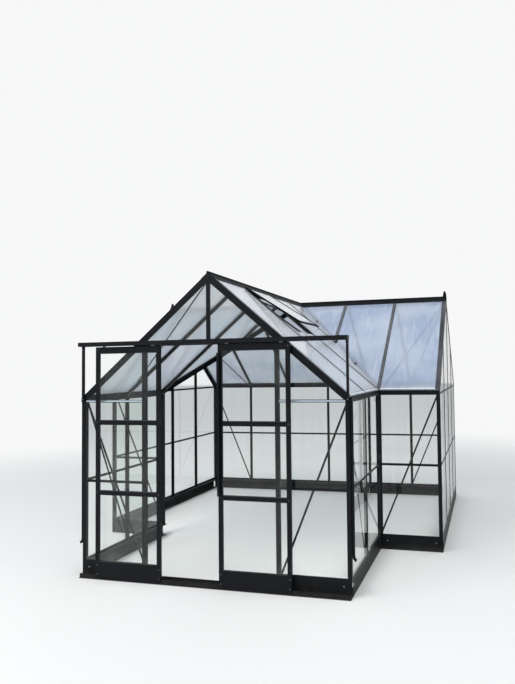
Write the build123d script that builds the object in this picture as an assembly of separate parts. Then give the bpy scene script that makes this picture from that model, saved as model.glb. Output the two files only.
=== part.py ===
from build123d import *
import math
import os

os.makedirs("parts", exist_ok=True)

# A free-standing glass greenhouse on a T-shaped plan, in millimetres and degrees.
# The origin is on the ground in the middle of the doorway, on the outer face of the front gable.
# +X runs to the right as seen from outside the doors, +Y into the house, +Z up.

# Plan and heights, counted in glazing bays
bay = 640.0
span_bays = 4
front_bays = 2
return_bays = 1
roof_pitch = 40.5
eave_height = 1655.0
base_height = 125.0
pane_joint_height = 875.0
eave_joint_height = 1608.0

# Sheet materials
glass = 4.0
twin_wall = 6.0
seal = 0.3
touch = 0.3
glass_play = 1.5
valley_play = 0.9

# Aluminium sections
frame_depth = 34.0
wall = 3.0
bar_face = 30.0
bar_shoulder = 24.0
bar_stem = 4.0
bar_heel = 18.0
jamb_width = 36.0
tie_height = 45.0
sill_height = 28.0
joint_strip = 16.0
edge_cover = 22.0
brace_width = 18.0
brace_thickness = 4.0
brace_inset = 12.0
rafter_face = 56.0
rafter_top = 48.0
rafter_lap = 48.0
roof_bar_depth = 40.0
glass_lap = 7.0

# Gutter and rain pipe
gutter_drop = 15.0
gutter_reach = 20.0
gutter_floor = 30.0
gutter_height = 42.0
pipe_radius = 12.5
pipe_wall = 2.0
pipe_inset = 18.0
pipe_foot = 340.0
pipe_bend = 45.0
pipe_turn = 60.0

# Ridge and valley
ridge_flank = 85.0
ridge_depth = 95.0
ridge_heel = 8.0
ridge_crown = 14.0
crown_width = 26.0
valley_flank = 45.0
valley_depth = 50.0
valley_plate = 34.0
valley_clip = 17.0
end_plate_width = 60.0
end_plate_depth = 70.0
finial_radius = 22.0
finial_collar = 20.0
finial_tip = 11.0
finial_rise = 66.0

# Steel base
base_steel = 2.5
base_flange = 46.0
base_lip = 12.0

# Sliding doors
door_width = 660.0
door_bottom = 20.0
door_depth = 25.0
door_offset = 25.0
stile = 35.0
door_top_rail = 56.0
door_kick = 142.0
door_light = 602.0
door_rail_height = 34.0
grip_width = 22.0
grip_depth = 25.0
grip_gap = 20.0
meeting_gap = 6.0
left_door_open = 443.0
right_door_open = 114.0

# Door track and guide
header_rise = 497.0
track_height = 38.0
track_depth = 70.0
track_wall = 3.0
track_clearance = 8.0
rail_thickness = 6.0
rail_height = 11.0
wheel_radius = 11.0
wheel_width = 7.0
axle_radius = 3.0
hanger_inset = 80.0
hanger_width = 30.0
hanger_plate = 4.0
post_size = 20.0
guide_depth = 50.0
guide_height = 40.0
guide_plate = 4.0
guide_fin = 4.0
guide_fin_rise = 20.0
guide_slot = 14.0
guide_play = 6.0

# Roof vent
vent_length = 680.0
vent_lift = 8.0
vent_frame = 25.0
vent_depth = 14.0
vent_bar_place = 470.0
vent_bar = 22.0
opener_drop = 55.0
opener_radius = 13.0
opener_head = 110.0
opener_foot = 330.0
opener_pivot = 175.0
opener_width = 18.0
opener_thickness = 5.0

# Places worked out from the sizes above
pitch = math.radians(roof_pitch)
half_span = bay * span_bays / 2
front_length = bay * front_bays
rear_half = half_span + bay * return_bays
rear_bays = span_bays + 2 * return_bays
ridge_y = front_length + half_span
rear_y = ridge_y + half_span
ridge_height = eave_height + half_span * math.tan(pitch)
rebate = wall + glass + 2 * seal
sheet_top = wall + seal
sheet_bottom = sheet_top + twin_wall
shoulder_top = sheet_bottom + seal
shoulder_bottom = shoulder_top + wall
inside = half_span - frame_depth
gutter_top = eave_height - gutter_drop
gutter_bottom = gutter_top - gutter_height
half_joint = wall / 2 + touch
pane_edge = bar_stem / 2 + glass_play
track_top = eave_height + header_rise
track_bottom = track_top - track_height
door_top = track_bottom - track_clearance
sky = 2 * ridge_height


def patch(x0, x1, y0, y1):
    """A rectangle from (x0, y0) to (x1, y1)."""
    return Pos((x0 + x1) / 2, (y0 + y1) / 2) * Rectangle(abs(x1 - x0), abs(y1 - y0))


def outline(points):
    """A face with the given corners."""
    return make_face(Polyline(*points, close=True))


def along_x(section, x0, x1):
    """A section drawn in Y and Z, carried from x0 to x1."""
    return extrude(Plane.YZ.offset(x0) * section, amount=x1 - x0)


def upright(section, z0, z1):
    """A section drawn in X and Y, carried from z0 to z1."""
    return extrude(Plane.XY.offset(z0) * section, amount=z1 - z0)


def across(section, y0, y1):
    """A face drawn in X and Z, carried from y0 to y1."""
    return extrude(Plane.XZ.offset(-y0) * section, amount=y0 - y1)


def plan_prism(points):
    """Everything above a plan outline."""
    return extrude(outline(points), amount=sky)


def fused(pieces):
    """Pieces joined into one."""
    whole = pieces[0]
    for piece in pieces[1:]:
        whole = whole + piece
    return whole


def save(name, *pieces):
    """One sub-part file; its pieces stay separate solids."""
    solids = [solid for piece in pieces for solid in piece.solids()]
    shape = solids[0] if len(solids) == 1 else Compound(solids)
    export_step(shape, f"parts/{name}.step")


def mirrored(piece):
    """The same piece on the other side of the doorway's middle."""
    return mirror(piece, about=Plane.YZ)


# Walls are drawn in a frame of their own: x along the wall, y inwards, z up.
front_wall = Location((-half_span, 0, 0))
wing_wall = Location((half_span, 0, 0), (0, 0, 90))
return_wall = Location((half_span, front_length, 0))
end_wall = Location((rear_half, front_length, 0), (0, 0, 90))
rear_wall = Location((rear_half, rear_y, 0), (0, 0, 180))
sill_top = base_height + wall + touch
pane_top = gutter_top - gutter_floor - seal
gable_pane_foot = eave_joint_height + half_joint
back_top = eave_height + (frame_depth - wall) * math.tan(pitch) - (shoulder_bottom + touch) / math.cos(pitch)


def bar_section():
    """Plan section of a glazing bar: outer face, stem, shoulder for the glass and heel."""
    face = patch(-bar_face / 2, bar_face / 2, 0, wall)
    stem = patch(-bar_stem / 2, bar_stem / 2, 0, frame_depth)
    shoulder = patch(-bar_shoulder / 2, bar_shoulder / 2, rebate, rebate + wall)
    heel = patch(-bar_heel / 2, bar_heel / 2, frame_depth - wall, frame_depth)
    return face + stem + shoulder + heel


def glazing_bar(x, top):
    """A wall's upright glazing bar."""
    return upright(Pos(x, 0) * bar_section(), base_height, top)


def tube(width, depth):
    """A square hollow section with one corner on the origin."""
    return patch(0, width, 0, depth) - patch(wall, width - wall, wall, depth - wall)


def corner_post(x, top):
    """A hollow corner post that starts at x along the wall."""
    return upright(Pos(x, 0) * tube(frame_depth, frame_depth), base_height, top)


def sill(x0, x1):
    """Bottom rail with a slot for the glass."""
    section = patch(0, frame_depth, 0, wall) + patch(0, wall, 0, sill_height)
    section += patch(rebate, rebate + wall, 0, sill_height)
    return along_x(Pos(0, base_height) * section, x0, x1)


def strip(x0, x1, z):
    """Thin level bar between one pane and the next above it, at z."""
    section = patch(0, wall, -joint_strip / 2, joint_strip / 2)
    section += patch(0, rebate + wall, -wall / 2, wall / 2)
    section += patch(rebate, rebate + wall, -joint_strip / 2, joint_strip / 2)
    return along_x(Pos(0, z) * section, x0, x1)


def tie(x0, x1, z):
    """Level tie over the doorway with its upper face at z, and slots for glass above and below."""
    section = patch(0, wall, -tie_height, 0) + patch(rebate, rebate + wall, -tie_height, 0)
    section += patch(0, frame_depth, -tie_height / 2 - wall, -tie_height / 2)
    section += patch(frame_depth - wall, frame_depth, -tie_height, 0)
    return along_x(Pos(0, z) * section, x0, x1)


def gutter(x0, x1):
    """Eave gutter that stands out from the wall, with the upper glass slot under its floor."""
    section = patch(-gutter_reach, wall - gutter_reach, -gutter_height, 0)
    section += patch(-gutter_reach, frame_depth, -gutter_floor, -gutter_floor + wall)
    section += patch(0, wall, -gutter_height, -gutter_floor)
    section += patch(rebate, rebate + wall, -gutter_height, -gutter_floor)
    section += patch(frame_depth - wall, frame_depth, -gutter_height, back_top - gutter_top)
    return along_x(Pos(0, gutter_top) * section, x0, x1)


def gutter_cap(x):
    """Plate that closes the outer channel of a gutter, from x on."""
    face = patch(-gutter_reach, -touch, -gutter_height, 0)
    return along_x(Pos(0, gutter_top) * face, x, x + wall)


def brace(x0, z0, x1, z1):
    """Flat wind brace on the inner side of the bars, its ends cut plumb."""
    length = math.hypot(x1 - x0, z1 - z0)
    angle = math.degrees(math.atan2(z1 - z0, x1 - x0))
    middle = Pos((x0 + x1) / 2, (z0 + z1) / 2)
    face = middle * Rot(0, 0, angle) * Rectangle(length + 2 * brace_width, brace_width)
    face = face & (middle * Rectangle(abs(x1 - x0), abs(z1 - z0) + 2 * brace_width))
    return across(face, frame_depth - brace_thickness, frame_depth)


def gable_under(depth):
    """The outline of a gable below a line at a depth under the roof's surface."""
    drop = depth / math.cos(pitch)
    return outline([
        (0, 0),
        (2 * half_span, 0),
        (2 * half_span, eave_height - drop),
        (half_span, ridge_height - drop),
        (0, eave_height - drop),
    ])


def gable_zone(depth):
    """Everything in a gable wall's thickness below that line."""
    return across(gable_under(depth), -track_depth, frame_depth)


def rafter_section():
    """Part of a gable rafter: its face, lap for the gable glass, sheet slot and back."""
    section = patch(0, wall, 0, rafter_face)
    section += patch(0, rafter_top, 0, wall)
    section += patch(0, frame_depth, shoulder_top, shoulder_bottom)
    section += patch(rebate, rebate + wall, shoulder_top, rafter_lap)
    section += patch(frame_depth - wall, frame_depth, shoulder_top, roof_bar_depth)
    return section


def gable_rafter():
    """The gable rafter on the low-x side, in a wall's own frame, cut plumb at eave and apex."""
    slope = Plane(
        origin=(0, 0, eave_height),
        x_dir=(0, 1, 0),
        z_dir=(math.cos(pitch), 0, math.sin(pitch)),
    )
    section = mirror(rafter_section(), about=Plane.XZ)
    overrun = rafter_face * 2
    length = half_span / math.cos(pitch)
    # the slope plane's own y axis points down and out of the roof
    raw = extrude(slope.offset(-overrun) * section, amount=length + 2 * overrun)
    window = across(patch(0, half_span, 0, sky), 0, rafter_top)
    return raw & window


def pane(x0, x1, z0, z1, under=None):
    """A sheet of glass in the slots of a wall, cut under a gable line where one is given."""
    face = patch(x0, x1, z0, z1)
    if under is not None:
        face = face & under
    return across(face, wall + seal, wall + seal + glass)


def bay_panes(x0, x1, top):
    """Lower and upper pane of one bay."""
    return [
        pane(x0, x1, sill_top, pane_joint_height - half_joint),
        pane(x0, x1, pane_joint_height + half_joint, top),
    ]


# Base of folded steel channel under every wall
def base_rail(x0, x1):
    """A straight length of base: web outside, flanges and lips inside."""
    outer = patch(0, base_flange, 0, base_height)
    inner = patch(base_steel, base_flange - base_steel, base_steel, base_height - base_steel)
    mouth = patch(base_flange - base_steel, base_flange, base_lip, base_height - base_lip)
    return along_x(outer - inner - mouth, x0, x1)


door_half = half_span / 2
jamb_inner = door_half - jamb_width / 2
base_front = front_wall * base_rail(0, half_span - jamb_inner)
base_wing = wing_wall * base_rail(base_flange + touch, front_length + frame_depth)
base_return = return_wall * base_rail(touch, rear_half - half_span)
base_end = end_wall * base_rail(base_flange + touch, 2 * half_span - base_flange - touch)
save("base_front", base_front, mirrored(base_front))
save("base_right", base_wing, base_return, base_end)
save("base_left", mirrored(base_wing), mirrored(base_return), mirrored(base_end))
save("base_rear", rear_wall * base_rail(0, 2 * rear_half))

# Front gable: a glazed panel each side of the doorway
panel_end = half_span - jamb_inner
jamb = upright(Pos(panel_end - jamb_width, 0) * tube(jamb_width, frame_depth), base_height, ridge_height)
jamb = jamb & gable_zone(rafter_face)
panel_start = frame_depth
panel_stop = panel_end - jamb_width
front_panel = fused([
    sill(panel_start, panel_stop),
    strip(panel_start, panel_stop, pane_joint_height),
    strip(panel_start, panel_stop, eave_joint_height) & gable_zone(rafter_face),
    brace(panel_start, gutter_bottom - brace_width, panel_stop, base_height + brace_width),
    jamb,
])
save("front_left_panel", front_wall * front_panel)
save("front_right_panel", mirrored(front_wall * front_panel))

rafter = gable_rafter()
front_rafter = front_wall * rafter
save("front_left_rafter", front_rafter)
save("front_right_rafter", mirrored(front_rafter))

head_zone = gable_zone(rafter_face)
header = tie(panel_end, 2 * half_span - panel_end, track_top) & head_zone
mullion = upright(Pos(half_span, 0) * bar_section(), track_top - tie_height / 2, ridge_height) & head_zone
save("gable_head", front_wall * (header + mullion))

glazed_line = gable_under(rafter_lap - glass_lap)
tie_seat = tie_height / 2 - seal
left_bay = bay_panes(panel_start + touch, panel_stop - touch, eave_joint_height - half_joint)
left_bay.append(pane(panel_start + touch, panel_stop - touch, gable_pane_foot, sky, glazed_line))
head_pane = pane(panel_end + touch, half_span - pane_edge, track_top - tie_seat, sky, glazed_line)
front_panes = [front_wall * piece for piece in left_bay + [head_pane]]
save("front_glass", *front_panes, *[mirrored(piece) for piece in front_panes])

# Sides of the front wing, with the post in the inner corner and a mitred gutter
corner = front_length
bar_top = gutter_top - gutter_floor
mitre = plan_prism([
    (0, -frame_depth),
    (corner - frame_depth, -frame_depth),
    (corner + 2 * frame_depth, 2 * frame_depth),
    (frame_depth, 2 * frame_depth),
    (frame_depth, -touch),
    (0, -touch),
])
wing_frame = fused([
    sill(frame_depth, corner),
    strip(frame_depth, corner, pane_joint_height),
    gutter(0, corner + frame_depth) & mitre,
    gutter_cap(0),
    corner_post(corner, gutter_bottom),
    brace(frame_depth, gutter_bottom - brace_width, bay, base_height + brace_width),
] + [glazing_bar(index * bay, bar_top) for index in range(1, front_bays)])
front_post = (wing_wall * corner_post(0, ridge_height)) & (front_wall * gable_zone(rafter_face))


def rain_pipe():
    """Pipe from the gutter's front end down the corner post, its foot bent away from the house."""
    level = -pipe_radius - touch
    turn = math.radians(pipe_turn)
    bend_end = (
        pipe_inset,
        level - pipe_bend * (1 - math.cos(turn)),
        pipe_foot - pipe_bend * math.sin(turn),
    )
    drop = Line((pipe_inset, level, gutter_bottom - touch), (pipe_inset, level, pipe_foot))
    bend = TangentArc(drop @ 1, bend_end, tangent=(0, 0, -1))
    ring = Circle(pipe_radius) - Circle(pipe_radius - pipe_wall)
    start = Plane(origin=drop @ 0, z_dir=(0, 0, -1))
    return sweep(start * ring, path=Wire([drop, bend]))


def bays(count, start, stop, top):
    """Panes of a whole wall between its posts."""
    panes = []
    for index in range(count):
        x0 = start + touch if index == 0 else index * bay + pane_edge
        x1 = stop - touch if index == count - 1 else (index + 1) * bay - pane_edge
        panes += bay_panes(x0, x1, top)
    return panes


wing_panes = [wing_wall * piece for piece in bays(front_bays, frame_depth, corner, pane_top)]
right_wing_frame = [wing_wall * wing_frame + front_post, wing_wall * rain_pipe()]
save("right_wing_frame", *right_wing_frame)
save("left_wing_frame", *[mirrored(piece) for piece in right_wing_frame])
save("right_wing_glass", *wing_panes)
save("left_wing_glass", *[mirrored(piece) for piece in wing_panes])

# One bay of front wall each side of the front wing
return_length = rear_half - half_span
return_stop = return_length - frame_depth
return_mitre = plan_prism([
    (-2 * frame_depth, 2 * frame_depth),
    (frame_depth, -frame_depth),
    (return_length, -frame_depth),
    (return_length, -touch),
    (return_stop, -touch),
    (return_stop, 2 * frame_depth),
])
edge_section = patch(0, edge_cover, 0, wall) + patch(0, edge_cover, rebate, rebate + wall)
return_frame = fused([
    sill(0, return_stop),
    strip(0, return_stop, pane_joint_height),
    gutter(-frame_depth, return_length) & return_mitre,
    gutter_cap(return_length - wall),
    upright(edge_section, base_height, bar_top),
    brace(return_stop, gutter_bottom - brace_width, 0, base_height + brace_width),
])
return_panes = [return_wall * piece for piece in bay_panes(touch, return_stop - touch, pane_top)]
save("return_frames", return_wall * return_frame, mirrored(return_wall * return_frame))
save("return_glass", *return_panes, *[mirrored(piece) for piece in return_panes])

# End gables of the rear wing
end_length = 2 * half_span
end_posts = [
    corner_post(0, ridge_height),
    corner_post(end_length - frame_depth, ridge_height),
]
end_bars = [glazing_bar(index * bay, ridge_height) for index in range(1, span_bays)]
far_rafter = mirror(rafter, about=Plane.YZ.offset(half_span))
end_frame = fused([
    rafter + far_rafter,
    (fused(end_posts + end_bars)) & gable_zone(shoulder_bottom),
    sill(frame_depth, end_length - frame_depth),
    strip(frame_depth, end_length - frame_depth, pane_joint_height),
    strip(frame_depth, end_length - frame_depth, eave_joint_height),
])
end_panes = bays(span_bays, frame_depth, end_length - frame_depth, eave_joint_height - half_joint)
for index in range(span_bays):
    x0 = frame_depth + touch if index == 0 else index * bay + pane_edge
    x1 = end_length - frame_depth - touch if index == span_bays - 1 else (index + 1) * bay - pane_edge
    end_panes.append(pane(x0, x1, gable_pane_foot, sky, glazed_line))
end_panes = [end_wall * piece for piece in end_panes]
save("right_end_frame", end_wall * end_frame)
save("left_end_frame", mirrored(end_wall * end_frame))
save("right_end_glass", *end_panes)
save("left_end_glass", *[mirrored(piece) for piece in end_panes])

# Rear wall
rear_length = 2 * rear_half
rear_stop = rear_length - frame_depth
rear_gutter_plan = plan_prism([
    (0, -frame_depth),
    (rear_length, -frame_depth),
    (rear_length, -touch),
    (rear_stop, -touch),
    (rear_stop, 2 * frame_depth),
    (frame_depth, 2 * frame_depth),
    (frame_depth, -touch),
    (0, -touch),
])
rear_frame = fused([
    sill(frame_depth, rear_stop),
    strip(frame_depth, rear_stop, pane_joint_height),
    gutter(0, rear_length) & rear_gutter_plan,
    gutter_cap(0),
    gutter_cap(rear_length - wall),
    brace(frame_depth, gutter_bottom - brace_width, bay, base_height + brace_width),
    brace(rear_stop, gutter_bottom - brace_width, rear_length - bay, base_height + brace_width),
] + [glazing_bar(index * bay, bar_top) for index in range(1, rear_bays)])
save("rear_frame", rear_wall * rear_frame)
save("rear_glass", *[rear_wall * piece for piece in bays(rear_bays, frame_depth, rear_stop, pane_top)])


# Roof slopes are drawn in frames of their own: x along the ridge, y up the slope, z out of the roof.
def slope_frame(origin, along, normal):
    """The frame of one slope, with its origin on the ridge line."""
    return Plane(origin=origin, x_dir=along, z_dir=normal)


rise, run = math.sin(pitch), math.cos(pitch)
wing_slope = slope_frame((0, 0, ridge_height), (0, 1, 0), (rise, 0, run))
front_slope = slope_frame((0, ridge_y, ridge_height), (1, 0, 0), (0, -rise, run))
back_slope = slope_frame((0, ridge_y, ridge_height), (-1, 0, 0), (0, rise, run))
slope_length = half_span / run
web = bar_stem / 2


def wing_zone(reach, start, gap=0.0):
    """Plan of the front wing's right slope from the ridge web to a reach, up to the valley."""
    return [
        (web, start),
        (reach, start),
        (reach, ridge_y - reach - gap),
        (web, ridge_y - web - gap),
    ]


def front_zone(reach, stop, gap=0.0):
    """Plan of the rear wing's right front slope, from the valley to its end."""
    return [
        (web + gap, ridge_y - web),
        (reach + gap, ridge_y - reach),
        (stop, ridge_y - reach),
        (stop, ridge_y - web),
    ]


def back_zone(reach, stop):
    """Plan of the rear slope."""
    return [
        (-stop, ridge_y + web),
        (stop, ridge_y + web),
        (stop, ridge_y + reach),
        (-stop, ridge_y + reach),
    ]


def down_slope(section, frame):
    """A section drawn along the ridge and out of the roof, carried down a whole slope."""
    overrun = rafter_face
    return frame * extrude(Plane.XZ.offset(-overrun) * section, amount=slope_length + 2 * overrun)


def roof_bar(position, frame, upper_plan, lower_plan):
    """A roof bar: its cap and stem reach the drip edge, its body stops at the gutter's back."""
    upper = patch(-bar_face / 2, bar_face / 2, -wall, 0) + patch(-web, web, -shoulder_top, 0)
    lower = patch(-bar_shoulder / 2, bar_shoulder / 2, -shoulder_bottom, -shoulder_top)
    lower += patch(-web, web, -roof_bar_depth, -shoulder_top)
    lower += patch(-bar_heel / 2, bar_heel / 2, -roof_bar_depth, -roof_bar_depth + wall)
    cap = down_slope(Pos(position, 0) * upper, frame) & plan_prism(upper_plan)
    body = down_slope(Pos(position, 0) * lower, frame) & plan_prism(lower_plan)
    return cap + body


def roof_sheet(low, high, frame, plan):
    """A twin-wall sheet between two places along the ridge."""
    section = patch(low, high, -sheet_bottom, -sheet_top)
    return down_slope(section, frame) & plan_prism(plan)


# Valleys: two flanks under the sheets and a fin below them
valley_reach = valley_flank * math.sqrt(2)


def valley_plan(reach_x, reach_y):
    """A strip of plan on one side of the valley line."""
    return plan_prism([
        (half_span, ridge_y - half_span),
        (web, ridge_y - web),
        (web + reach_x, ridge_y - web - reach_y),
        (half_span + reach_x, ridge_y - half_span - reach_y),
    ])


def slope_sheet(frame, top, thickness, reach):
    """A sheet of a slope's whole extent at a depth under its surface."""
    section = patch(-reach, reach, -top - thickness, -top)
    return down_slope(section, frame)


flank_wing = slope_sheet(wing_slope, shoulder_top, wall, ridge_y) & valley_plan(0, valley_reach)
flank_front = slope_sheet(front_slope, shoulder_top, wall, rear_half) & valley_plan(valley_reach, 0)
diagonal = Plane(
    origin=(inside, ridge_y - inside, ridge_height - inside * math.tan(pitch)),
    x_dir=(-1, 1, 0),
    z_dir=(1, 1, 0),
)
fin_run = (inside - web) * math.sqrt(2)
fin_rise = (inside - web) * math.tan(pitch)
fin_top = shoulder_top / run
fin_face = outline([
    (0, -fin_top),
    (fin_run, fin_rise - fin_top),
    (fin_run, fin_rise - fin_top - valley_depth),
    (0, -fin_top - valley_depth),
])
valley_fin = extrude(diagonal * fin_face, amount=web, both=True)
valley_fin = valley_fin & plan_prism([
    (web, 0),
    (inside, 0),
    (inside, ridge_y - web),
    (web, ridge_y - web),
])
valley = flank_wing + flank_front + valley_fin


def valley_washer(x, radius, underside):
    """A round plate bent along the valley, its underside at a depth under the roof's surface."""
    disc = extrude(Pos(x, ridge_y - x) * Circle(radius), amount=sky)
    top = underside - wall
    on_wing = slope_sheet(wing_slope, top, wall, ridge_y) & plan_prism([(0, 0), (0, ridge_y), (ridge_y, 0)])
    on_front = slope_sheet(front_slope, top, wall, rear_half)
    on_front = on_front & plan_prism([(0, ridge_y), (ridge_y, ridge_y), (ridge_y, 0)])
    return (on_wing + on_front) & disc


# a large washer where two bars meet over the valley, and small ones on the sheets between
meetings = [half_span - index * bay for index in range(1, (span_bays + 1) // 2)]
between = [half_span - (index + 0.5) * bay for index in reversed(range(span_bays // 2))]
washers = [valley_washer(place, valley_plate, -touch) for place in meetings]
washers += [valley_washer(place, valley_clip, sheet_top - touch) for place in between]
save("valley_bars", valley, *washers, mirrored(valley), *[mirrored(piece) for piece in washers])

# Roof bars, counted from the front gable on the wing and from the end walls on the rear wing
wing_count = front_bays + (span_bays + 1) // 2
half_count = return_bays + (span_bays + 1) // 2
wing_bars = []
for index in range(1, wing_count):
    wing_bars.append(
        roof_bar(
            index * bay,
            wing_slope,
            wing_zone(half_span, frame_depth),
            wing_zone(inside, frame_depth),
        ) - valley
    )
front_bars = []
for index in reversed(range(1, half_count)):
    front_bars.append(
        roof_bar(
            rear_half - index * bay,
            front_slope,
            front_zone(half_span, rear_half),
            front_zone(inside, rear_half),
        ) - valley
    )
back_bars = []
for index in range(1, rear_bays):
    back_bars.append(
        roof_bar(
            index * bay - rear_half,
            back_slope,
            back_zone(half_span, rear_half),
            back_zone(inside, rear_half),
        )
    )


def roof_brace(gable, bar, frame, reach_zone):
    """Flat brace under the roof bars, from the ridge at a gable down to the gutter at the next bar."""
    toward = 1 if bar > gable else -1
    top = (gable + toward * brace_inset, 0)
    foot = (bar - toward * brace_inset, -slope_length)
    length = math.dist(top, foot)
    angle = math.degrees(math.atan2(foot[1] - top[1], foot[0] - top[0]))
    middle = Pos((top[0] + foot[0]) / 2, (top[1] + foot[1]) / 2)
    face = middle * Rot(0, 0, angle) * Rectangle(length, brace_width)
    strip_down = extrude(face, amount=brace_thickness)
    level = Pos(0, 0, -roof_bar_depth - touch - brace_thickness)
    return (frame * (level * strip_down)) & plan_prism(reach_zone)


def plan_box(x0, x1, y0, y1):
    """The corners of a rectangle in plan."""
    return [(x0, y0), (x1, y0), (x1, y1), (x0, y1)]


brace_high = bar_heel / 2 + touch
brace_low = inside - touch
flange = frame_depth - wall
wing_braces = [roof_brace(0, bay, wing_slope, plan_box(brace_high, brace_low, flange, bay))]
front_reach = plan_box(rear_half - bay, rear_half - flange, ridge_y - brace_low, ridge_y - brace_high)
back_reach = plan_box(rear_half - bay, rear_half - flange, ridge_y + brace_high, ridge_y + brace_low)
front_braces = [roof_brace(rear_half, rear_half - bay, front_slope, front_reach)]
back_brace = roof_brace(-rear_half, bay - rear_half, back_slope, back_reach)
back_braces = [back_brace, mirrored(back_brace)]

# Twin-wall sheets, one to a bay
sheet_end = wall + touch
wing_sheets = []
for index in range(wing_count):
    low = sheet_end if index == 0 else index * bay + pane_edge
    high = (index + 1) * bay - pane_edge
    plan = wing_zone(half_span, 0, valley_play)
    sheet = roof_sheet(low, high, wing_slope, plan)
    wing_sheets.append(sheet)
front_sheets = []
for index in reversed(range(half_count)):
    low = max(rear_half - (index + 1) * bay, 0) + pane_edge
    high = rear_half - (sheet_end if index == 0 else index * bay + pane_edge)
    front_sheets.append(roof_sheet(low, high, front_slope, front_zone(half_span, rear_half, valley_play)))
back_sheets = []
for index in range(rear_bays):
    low = (sheet_end if index == 0 else index * bay + pane_edge) - rear_half
    high = rear_half - sheet_end if index == rear_bays - 1 else (index + 1) * bay - pane_edge - rear_half
    back_sheets.append(roof_sheet(low, high, back_slope, back_zone(half_span, rear_half)))

# An opening vent in the second bay of the right slope: trimmed sheet, sill bar, sash and stay
vent_middle = 1.5 * bay
vent_top = ridge_flank + 2 * seal
vent_foot = vent_top + vent_length
vent_width = bay - bar_face - 4 * seal
cut = Pos(vent_middle, -vent_foot / 2, -sheet_bottom) * Box(bay, vent_foot, 2 * sheet_bottom)
right_sheets = list(wing_sheets)
right_sheets[1] = right_sheets[1] - wing_slope * cut
sill_bar = Pos(vent_middle, -vent_foot, -shoulder_top - wall / 2)
sill_bar = wing_slope * (sill_bar * Box(bay - bar_shoulder - 2 * touch, vent_frame, wall))
hinge = wing_slope * Location((vent_middle, -vent_top, seal), (-vent_lift, 0, 0))
outer = Pos(0, -vent_length / 2) * Rectangle(vent_width, vent_length)
inner = Pos(0, -vent_length / 2) * Rectangle(vent_width - 2 * vent_frame, vent_length - 2 * vent_frame)
sash = extrude(outer - inner, amount=vent_depth)
seat = Pos(0, -vent_length / 2, vent_depth / 2) * Box(
    vent_width - vent_frame, vent_length - vent_frame, twin_wall + 2 * seal
)
sash_bar_height = (vent_depth - twin_wall) / 2 - seal
sash_bar = Pos(0, -vent_bar_place, sash_bar_height / 2) * Box(
    vent_width - 2 * vent_frame, vent_bar, sash_bar_height
)
sash_sheet = Pos(0, -vent_length / 2, vent_depth / 2) * Box(
    vent_width - vent_frame - 2 * seal, vent_length - vent_frame - 2 * seal, twin_wall
)
save("right_wing_roof_bars", *wing_bars, sill_bar, *wing_braces)
save("roof_vent_sash", hinge * (sash - seat + sash_bar))
save("roof_vent_sheet", hinge * sash_sheet)


# The vent's opener: a cylinder under the sash, its arm to the sill bar and its arm to the sash
def opener_link(down_0, out_0, down_1, out_1):
    """A flat link in the vent's middle plane, from one pivot to another."""
    length = math.hypot(down_1 - down_0, out_1 - out_0)
    angle = math.degrees(math.atan2(out_1 - out_0, down_1 - down_0))
    bar = SlotCenterToCenter(length, opener_width)
    return Pos((down_0 + down_1) / 2, (out_0 + out_1) / 2) * Rot(0, 0, angle) * bar


lift = math.radians(vent_lift)
sash_pivot = (
    vent_top + vent_bar_place * math.cos(lift),
    vent_bar_place * math.sin(lift) - opener_width / 2 - touch,
)
sill_pivot = (vent_foot, -shoulder_bottom - opener_width / 2 - touch)
links = opener_link(opener_foot, -opener_drop, *sill_pivot)
links += opener_link(opener_pivot, -opener_drop, *sash_pivot)
opener = extrude(Plane.XZ * links, amount=opener_thickness / 2, both=True)
cylinder = Plane(origin=(opener_head, 0, -opener_drop), x_dir=(0, 1, 0), z_dir=(1, 0, 0))
opener += extrude(cylinder * Circle(opener_radius), amount=opener_foot - opener_head)
# its own x axis points down the slope
opener_place = wing_slope * Location((vent_middle, 0, 0), (0, 0, -90))
save("vent_opener", opener_place * opener)
left_bars = [mirrored(piece) for piece in wing_bars + wing_braces]
save("left_wing_roof_bars", *left_bars)
save("front_roof_bars", *front_bars, *front_braces, *[mirrored(piece) for piece in front_bars + front_braces])
save("rear_roof_bars", *back_bars, *back_braces)
save("right_wing_roof_sheets", *right_sheets)
save("left_wing_roof_sheets", *[mirrored(piece) for piece in wing_sheets])
save("front_roof_sheets", *front_sheets, *[mirrored(piece) for piece in front_sheets])
save("rear_roof_sheets", *back_sheets)


# Ridge bars: a cap over both slopes and a web with a heel between the roof bars
def ridge_flanks():
    """Section of the ridge cap about the apex, across and up."""
    rise_out = wall / run
    edge_x = ridge_flank * run
    edge_z = -ridge_flank * rise
    flanks = outline([
        (0, rise_out),
        (edge_x + wall * rise, edge_z + wall * run),
        (edge_x, edge_z),
        (0, 0),
        (-edge_x, edge_z),
        (-edge_x - wall * rise, edge_z + wall * run),
    ])
    drop = crown_width / 2 * math.tan(pitch)
    crown = outline([
        (0, 0),
        (crown_width / 2, -drop),
        (crown_width / 2, ridge_crown - drop / 2),
        (0, ridge_crown),
        (-crown_width / 2, ridge_crown - drop / 2),
        (-crown_width / 2, -drop),
    ])
    return flanks + crown


def ridge_web():
    """Section of the ridge's web and heel about the apex."""
    foot = -ridge_depth
    return patch(-web, web, foot, 0) + patch(-ridge_heel, ridge_heel, foot, foot + wall)


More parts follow.
